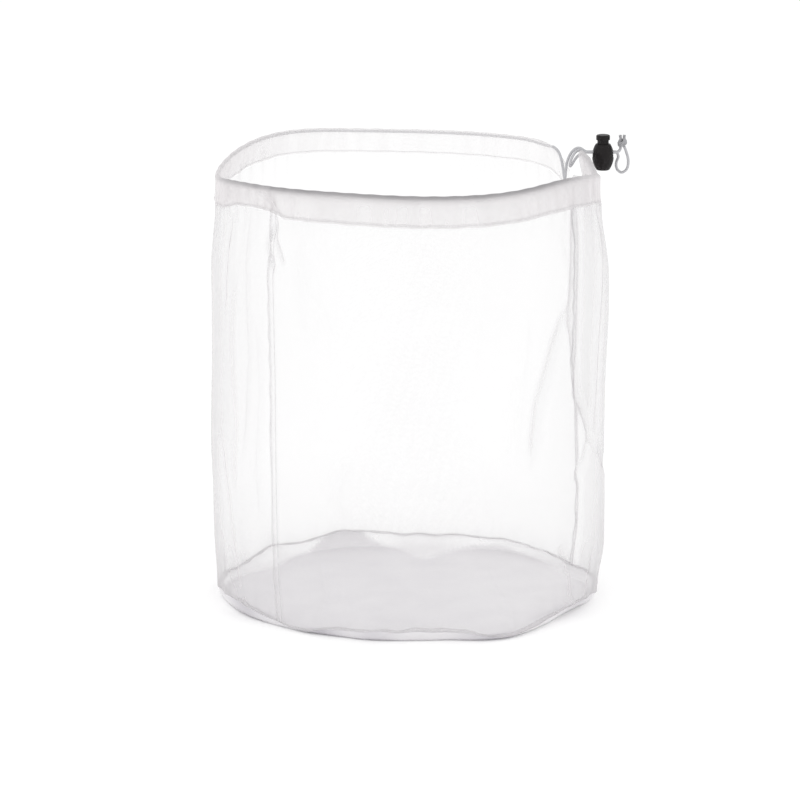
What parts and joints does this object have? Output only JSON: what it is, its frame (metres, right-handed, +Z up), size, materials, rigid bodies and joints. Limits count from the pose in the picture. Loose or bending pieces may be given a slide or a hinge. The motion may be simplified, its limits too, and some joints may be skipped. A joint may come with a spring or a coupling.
{
  "type": "mesh laundry bag",
  "caption": "Round standing laundry bag of fine white translucent mesh with a drawcord hem, black spring cord lock and knotted cord end.",
  "frame": {"origin": "centre of the bag's base, on the surface it stands on", "axes": "+Z up to the mouth, -Y the front, +X towards the cord lock"},
  "size_m": [0.4643, 0.44, 0.498],
  "materials": {
    "mesh": "fine translucent polyester net",
    "mesh_seam": "several layers of the same net",
    "mesh_hem": "doubled net",
    "thread": "white polyester thread",
    "cord": "white braided polyester",
    "lock_plastic": "fine satin black",
    "spring_steel": "plain wire"
  },
  "bodies": {
    "bag": {"front_side_panel": "mesh", "rear_side_panel": "mesh", "bottom_panel": "mesh", "side_seam_left": "mesh_seam", "side_seam_right": "mesh_seam", "base_seam": "mesh_seam", "hem_casing_front": "mesh_hem", "hem_casing_rear": "mesh_hem", "hem_thread": "thread", "base_thread": "thread", "side_thread_left": "thread", "side_thread_right": "thread", "drawcord": "cord", "drawcord_tail_front": "cord", "drawcord_tail_rear": "cord", "cord_knot": "cord", "cord_tips": "cord"},
    "cord_lock": {"cord_lock_body": "lock_plastic", "cord_lock_spring": "spring_steel"},
    "lock_button": {"cord_lock_button": "lock_plastic"}
  },
  "joints": [
    {"name": "lock_slide", "type": "slide", "parent": "bag", "child": "cord_lock", "axis": [-1, 0, 0], "range_m": [0, 0.005]},
    {"name": "button_press", "type": "slide", "parent": "cord_lock", "child": "lock_button", "axis": [0, 0, -1], "range_m": [0, 0.0045], "stiffness_N_per_m": 800, "springref_m": -0.002, "deforming": ["cord_lock_spring"]}
  ]
}
